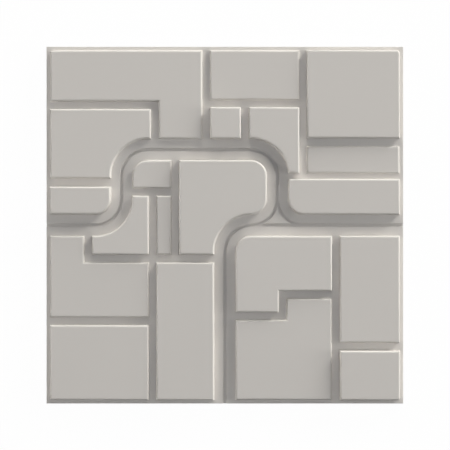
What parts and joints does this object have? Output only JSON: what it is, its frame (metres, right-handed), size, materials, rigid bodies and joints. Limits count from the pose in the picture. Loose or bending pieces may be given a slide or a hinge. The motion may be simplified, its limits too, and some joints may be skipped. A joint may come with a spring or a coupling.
{
  "type": "decorative relief wall panel",
  "caption": "Square cast plaster wall panel with a relief of flat-topped blocks at differing heights, parted by straight grooves and a winding track; it clads a wall.",
  "frame": {"origin": "middle of the flat back, which lies on the floor", "axes": "+Z out of the relief, +X to the panel's right and +Y to its top as it hangs on a wall"},
  "size_m": [0.5, 0.5, 0.0265],
  "materials": {
    "plaster": "matte cast gypsum plaster, warm grey"
  },
  "bodies": {
    "root": {"relief_panel": "plaster"}
  },
  "joints": []
}
